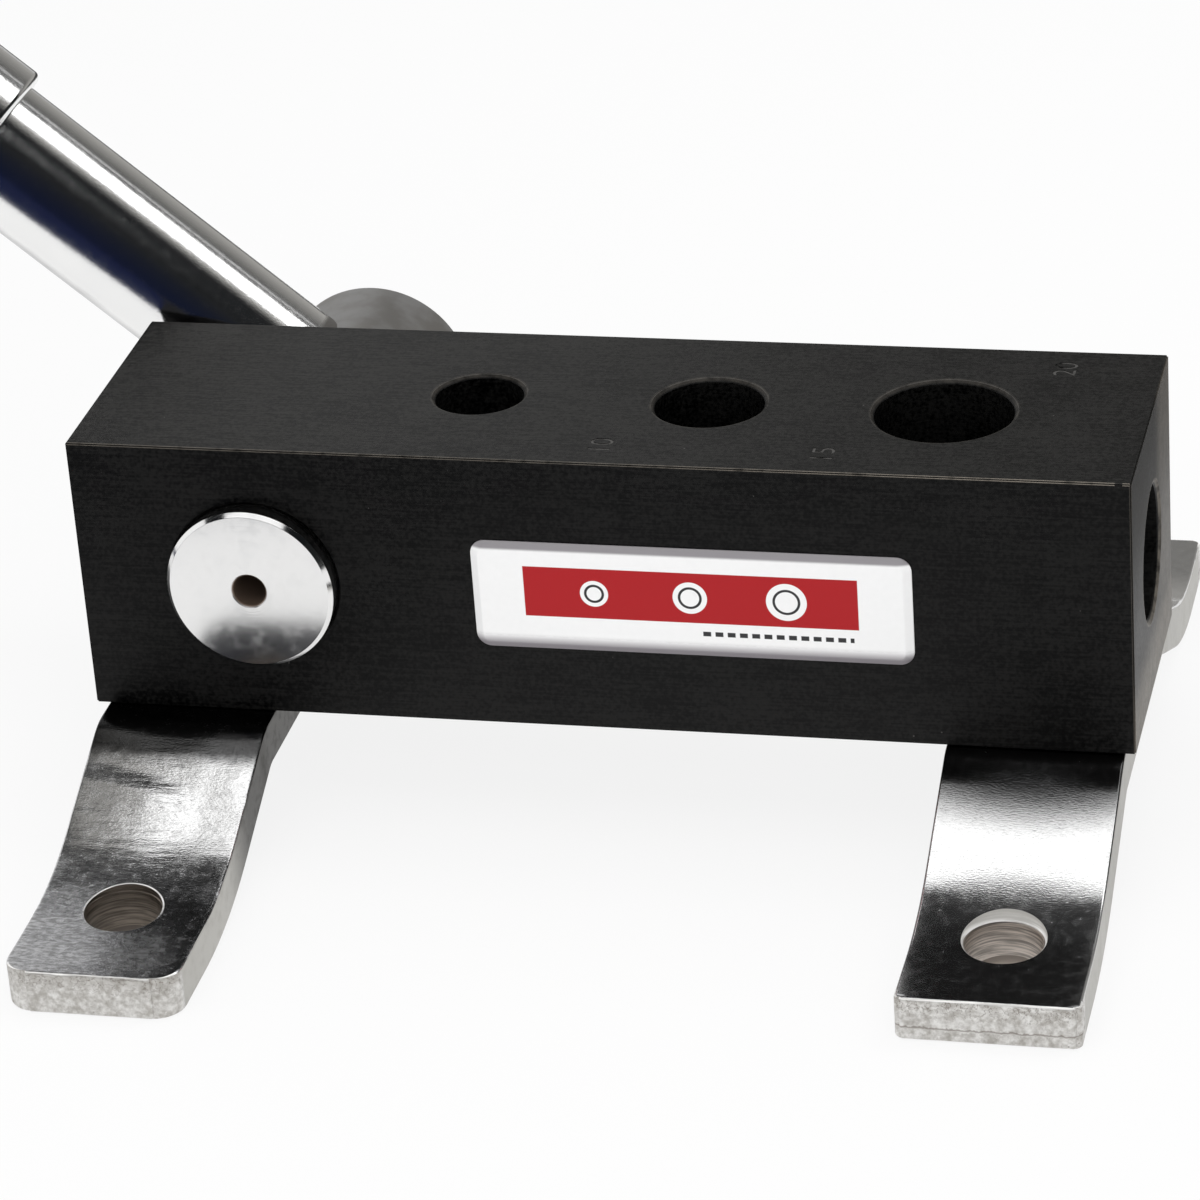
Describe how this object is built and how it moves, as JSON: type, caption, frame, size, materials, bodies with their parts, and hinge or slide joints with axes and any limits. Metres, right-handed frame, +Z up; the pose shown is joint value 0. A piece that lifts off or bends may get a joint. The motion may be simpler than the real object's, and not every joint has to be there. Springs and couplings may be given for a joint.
{
  "type": "pipe notcher",
  "caption": "Bench pipe notcher: square die block on strap feet, with round pipe holes in its top and a side lever that slides a shearing ram.",
  "frame": {"origin": "on the bench plane, under the middle of the die block", "axes": "+X along the block towards its largest pipe hole, +Y towards the lever side at the back, +Z up out of the pipe holes"},
  "size_m": [0.5572, 0.2002, 0.3803],
  "materials": {
    "black_oxide": "satin black oxide",
    "plate": "domed clear resin over a pale plate",
    "dark_steel": "black screws",
    "foot_chrome": "chrome plate over forged strap",
    "zinc_steel": "zinc plated",
    "bronze": "turned",
    "tool_steel": "ground",
    "shaft_steel": "plated and faced",
    "hub_steel": "dull, as turned",
    "lever_chrome": "polished chrome",
    "grip": "dipped vinyl"
  },
  "bodies": {
    "base": {"die_block": "black_oxide", "nameplate": "plate", "bore_plug": "dark_steel", "left_foot": "foot_chrome", "right_foot": "foot_chrome", "foot_screws": "zinc_steel", "foot_washers": "zinc_steel", "foot_lock_washers": "zinc_steel", "thrust_washer": "bronze", "shaft_retainer_screw": "dark_steel", "ram_guide_screw": "dark_steel"},
    "lever": {"drive_shaft": "shaft_steel", "lever_hub": "hub_steel", "lever_stub": "lever_chrome", "stub_lock_pin": "zinc_steel", "handle_tube": "lever_chrome", "handle_set_screw": "dark_steel", "handle_grip": "grip"},
    "ram": {"punch_ram": "tool_steel", "yoke_keeper": "tool_steel", "keeper_screw": "dark_steel"}
  },
  "joints": [
    {"name": "lever_swing", "type": "hinge", "parent": "base", "child": "lever", "pos_m": [-0.069, 0, 0.0545], "axis": [0, -1, 0], "range_deg": [-40, 40]},
    {"name": "ram_slide", "type": "slide", "parent": "base", "child": "ram", "axis": [1, 0, 0], "range_m": [-0.0046, 0.0046]}
  ],
  "couplings": [
    {"joint": "ram_slide", "follows": "lever_swing", "m_per_rad": 0.00658}
  ]
}
